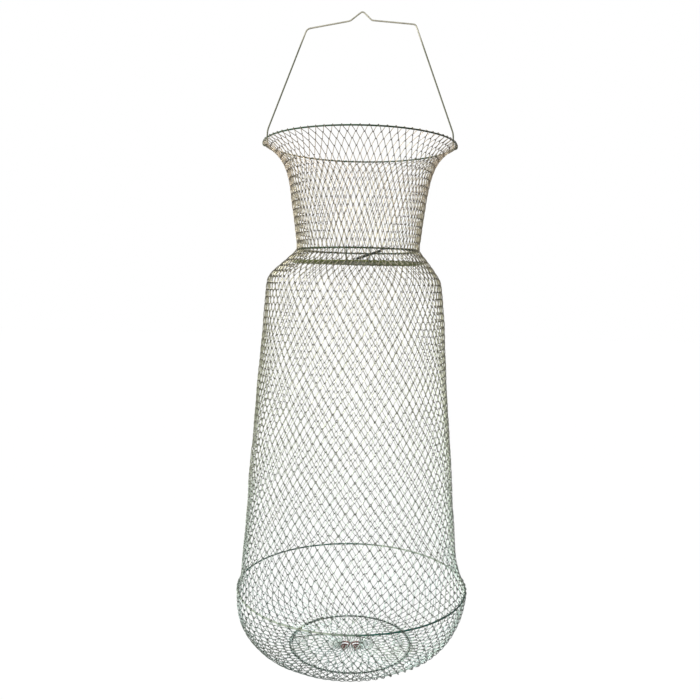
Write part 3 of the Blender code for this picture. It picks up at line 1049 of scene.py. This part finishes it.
# The clips. Each is one copper plated wire: a ring that holds the gathered loops, wound
# on in under itself to a small flat coil. Beside them a thin plated wire is hooked over
# the base ring and bows over the mesh to a cut end.
CLIP_TURNS = 4.4
CLIP_POINTS = 20
FIRST_TURN = 0.03
DROP_START = 0.93
DROP_LENGTH = 0.3
CLIP_DROP = 3.4 * MM
CLIP_INSET = 1.1 * MM
SPIRAL_START = 1.2
SPIRAL_PITCH = 1.25 * MM


def bent_wire(name, route, wire, material):
    """A round wire along points, with closed ends, as a plain mesh."""
    curve = bpy.data.curves.new(name, "CURVE")
    curve.dimensions = "3D"
    curve.bevel_depth = wire / 2
    curve.bevel_resolution = 2
    curve.use_fill_caps = True
    spline = curve.splines.new("POLY")
    spline.points.add(len(route) - 1)
    for point, place in zip(spline.points, route):
        point.co = (*place, 1)
    holder = bpy.data.objects.new(name + "_route", curve)
    bpy.context.scene.collection.objects.link(holder)
    bpy.context.view_layer.update()
    held = holder.evaluated_get(bpy.context.evaluated_depsgraph_get())
    mesh = bpy.data.meshes.new_from_object(held)
    bpy.data.objects.remove(holder)
    mesh.name = name
    mesh.materials.clear()
    mesh.materials.append(material)
    mesh.shade_smooth()
    obj = bpy.data.objects.new(name, mesh)
    bpy.context.scene.collection.objects.link(obj)
    return obj


# Copper plated clip wire: dull rosy brown metal, darker and duller in patches.
copper_plate = wire_material(
    "copper plated clip wire",
    first="#a67c74",
    second="#77504a",
    dark="#3f2826",
    roughness=0.30,
    metallic=0.9,
    spot=1.5 * MM,
    patch=5 * MM,
)
for side, sign in (("left", -1), ("right", 1)):
    route = []
    for n in range(round(CLIP_TURNS * CLIP_POINTS) + 1):
        turns = n / CLIP_POINTS
        under = min(max(turns - DROP_START, 0.0) / DROP_LENGTH, 1.0)
        inset = CLIP_INSET * under + SPIRAL_PITCH * max(turns - SPIRAL_START, 0.0)
        angle = 2 * math.pi * (turns + FIRST_TURN)
        x = sign * (clip_x - (clip_radius - inset) * math.cos(angle))
        y = clip_y - (clip_radius - inset) * math.sin(angle)
        route.append((x, y, base_z - CLIP_DROP * under))
    clip = bent_wire(f"clip_{side}_coil", route, clip_wire, copper_plate)
    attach(clip, "base")
    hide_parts(f"clip_{side}")
rounded("closing_wire", plated_wire)


# The door. A hoop of coated wire with a straight hinge bar, and its own disc of linked
# mesh, drawn in to a small knot in the middle. Two small coated links round the neck
# ring hold the bar.
DOOR_LINKS = 46
DOOR_ROWS = 8
DOOR_KNOT = 5.5 * MM

# Olive green coated wire: a gloss coat, a warmer and yellower green than the rest of the
# net, with pale yellowish rubbed spots.
door_coat = wire_material(
    "olive green coated door wire",
    first="#656e2e",
    second="#525a27",
    dark="#31371b",
    roughness=0.32,
    metallic=0.2,
    spot=1.6 * MM,
    patch=15 * MM,
    worn=("#b6b772", 0.36),
)
rounded("door_hoop", door_coat)

hoop_low, hoop_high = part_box("door_hoop")
door_wire = hoop_high.z - hoop_low.z
door_radius = (hoop_high.x - hoop_low.x - door_wire) / 2
door_y = hoop_high.y - door_wire / 2 - door_radius
door_z = (hoop_low.z + hoop_high.z) / 2
door_hook = (door_wire + NET_WIRE) / 2
door = wind_net(
    "door_mesh",
    [(door_radius, 0), (DOOR_KNOT, 0)],
    door_coat,
    {
        "Links Around": DOOR_LINKS,
        "Rows": DOOR_ROWS,
        "Rows Above": 0,
        "Top Hook": door_hook,
        "Bottom Hook": NET_WIRE,
        "Hook Out": door_hook * HOOK_STAND,
        "Flat Side": door_y - hoop_low.y - door_wire / 2,
    },
)
for vertex in door.data.vertices:
    vertex.co += Vector((0, door_y, door_z))
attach(door, "door")
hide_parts("door_net")
for link in ("hinge_link_left", "hinge_link_right"):
    rounded(link, green_coat)


# The door's spring. Dark spring wire, closely coiled, with a hook round the neck ring
# at one end and a hook into the door's mesh at the other. It stretches as the door opens.
SPRING_WIRE = 1.05 * MM
SPRING_RADIUS = 1.5 * MM
SPRING_CURLS = 28
SPRING_LEAD = 4.5 * MM
CURL_POINTS = 14
HOOK_POINTS = 12
HOOK_ARC = 250
NECK_HOOK_START = 20
MESH_HOOK_START = 90
HOOK_ROOM = 0.3 * MM
HOLD_INSET = 2 * MM

spring_low, spring_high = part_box("door_spring")
seat_x = spring_high.x - SPRING_RADIUS
seat = Vector((seat_x, -math.sqrt(neck_radius**2 - seat_x**2), neck_z))
hold = Vector((spring_low.x + HOLD_INSET, spring_high.y - HOLD_INSET, door_z))
up = Vector((0, 0, 1))
inward = Vector((-seat.x, -seat.y, 0)).normalized()
neck_hook = (ring_wire + SPRING_WIRE) / 2 + HOOK_ROOM
mesh_hook = (NET_WIRE + SPRING_WIRE) / 2 + HOOK_ROOM
start = seat - up * neck_hook
end = hold + up * mesh_hook
axis = (end - start).normalized()
across = axis.cross(up).normalized()
over = across.cross(axis)
coil_start, coil_end = start + axis * SPRING_LEAD, end - axis * SPRING_LEAD
coil_points = SPRING_CURLS * CURL_POINTS
route = []
for n in range(HOOK_POINTS + 1):
    angle = math.radians(NECK_HOOK_START + HOOK_ARC * n / HOOK_POINTS)
    route.append(seat + neck_hook * (math.cos(angle) * inward + math.sin(angle) * up))
for n in range(coil_points + 1):
    angle = 2 * math.pi * n / CURL_POINTS
    middle = coil_start.lerp(coil_end, n / coil_points)
    route.append(middle + SPRING_RADIUS * (math.cos(angle) * over + math.sin(angle) * across))
for n in range(HOOK_POINTS + 1):
    angle = math.radians(MESH_HOOK_START + HOOK_ARC * n / HOOK_POINTS)
    route.append(hold + mesh_hook * (math.cos(angle) * -axis + math.sin(angle) * up))

# Oil-dark spring steel: grey-black with a low sheen.
spring_steel = wire_material(
    "oil tempered spring steel",
    first="#484d49",
    second="#3c413c",
    dark="#252924",
    roughness=0.33,
    metallic=0.8,
    spot=1.0 * MM,
    patch=8 * MM,
)
coil = bent_wire("door_spring_coil", route, SPRING_WIRE, spring_steel)
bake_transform(coil)
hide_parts("door_spring")


# The studio. A plain pale floor well below the hanging net, a soft room, and one tall
# soft lamp to the front left. Floor and room are seen as white, but light it faintly.
FLOOR_Z = -1.8
FLOOR_SIZE = 40
FLOOR_GLOW = 1.1
FLOOR_SHOWN = 0.9
ROOM_LIGHT = 0.15
NET_MIDDLE = Vector((0, 0, -0.5))


def seen_ray(tree):
    """One for a ray that shows the room itself: from the camera, or by metal or glass."""
    path = add_node(tree, "ShaderNodeLightPath").outputs
    shiny = add_node(
        tree,
        "ShaderNodeMath",
        {0: path["Is Glossy Ray"], 1: path["Is Transmission Ray"]},
        operation="MAXIMUM",
    )
    return add_node(
        tree,
        "ShaderNodeMath",
        {0: path["Is Camera Ray"], 1: shiny.outputs[0]},
        operation="MAXIMUM",
    ).outputs[0]


white = bpy.data.materials.new("white painted floor")
white.use_nodes = True
tree = white.node_tree
shader = tree.nodes["Principled BSDF"]
shader.inputs["Base Color"].default_value = hex_colour("#bcbcbc")
shader.inputs["Roughness"].default_value = 0.9
glow = add_node(
    tree, "ShaderNodeEmission", {"Color": hex_colour("#ffffff"), "Strength": FLOOR_GLOW}
)
shown = add_node(
    tree, "ShaderNodeMath", {0: seen_ray(tree), 1: FLOOR_SHOWN}, operation="MULTIPLY"
)
mixed = add_node(
    tree,
    "ShaderNodeMixShader",
    {0: shown.outputs[0], 1: shader.outputs[0], 2: glow.outputs[0]},
)
tree.links.new(mixed.outputs[0], tree.nodes["Material Output"].inputs["Surface"])
bpy.ops.mesh.primitive_plane_add(size=FLOOR_SIZE, location=(0, 0, FLOOR_Z))
floor = bpy.context.object
floor.name = "floor"
floor.data.materials.append(white)

world = bpy.data.worlds.new("soft white room")
bpy.context.scene.world = world
world.use_nodes = True
tree = world.node_tree
background = tree.nodes["Background"]
background.inputs["Color"].default_value = hex_colour("#ffffff")
strength = add_node(
    tree, "ShaderNodeMapRange", {"Value": seen_ray(tree), 3: ROOM_LIGHT, 4: 1.0}
)
tree.links.new(strength.outputs[0], background.inputs["Strength"])

# the key stands square to the legs that slant up to the right, so that they shine
lamp = bpy.data.lights.new("key", "AREA")
lamp.shape = "RECTANGLE"
lamp.size = 0.6
lamp.size_y = 1.0
lamp.energy = 65
key = bpy.data.objects.new("key", lamp)
key.location = (-1.55, -1.45, 0.1)
key.rotation_euler = (NET_MIDDLE - key.location).to_track_quat("-Z", "Y").to_euler()
bpy.context.scene.collection.objects.link(key)


# The camera, at the height of the net's shoulder and tipped down a little. Its frame is
# shifted down to hold the whole net, and held with a slight roll.
FRAME_SIZE = 700
FOCAL_PIXELS = 740
AXIS_ROW = 303
AXIS_COLUMN = 357.4
DISTANCE = 1.078
CAMERA_Z = -0.3968
PITCH = 1.2
ROLL = 1.1

camera = bpy.data.cameras.new("camera")
camera.lens = camera.sensor_width * FOCAL_PIXELS / FRAME_SIZE
camera.shift_x = (FRAME_SIZE / 2 - AXIS_COLUMN) / FRAME_SIZE
camera.shift_y = (AXIS_ROW - FRAME_SIZE / 2) / FRAME_SIZE
camera.clip_start = 0.01
camera.clip_end = 100
eye = bpy.data.objects.new("camera", camera)
eye.location = (0, -DISTANCE, CAMERA_Z)
eye.rotation_euler = Euler((math.radians(90 - PITCH), math.radians(-ROLL), 0))
bpy.context.scene.collection.objects.link(eye)
bpy.context.scene.camera = eye
bpy.context.scene.view_settings.view_transform = "Standard"
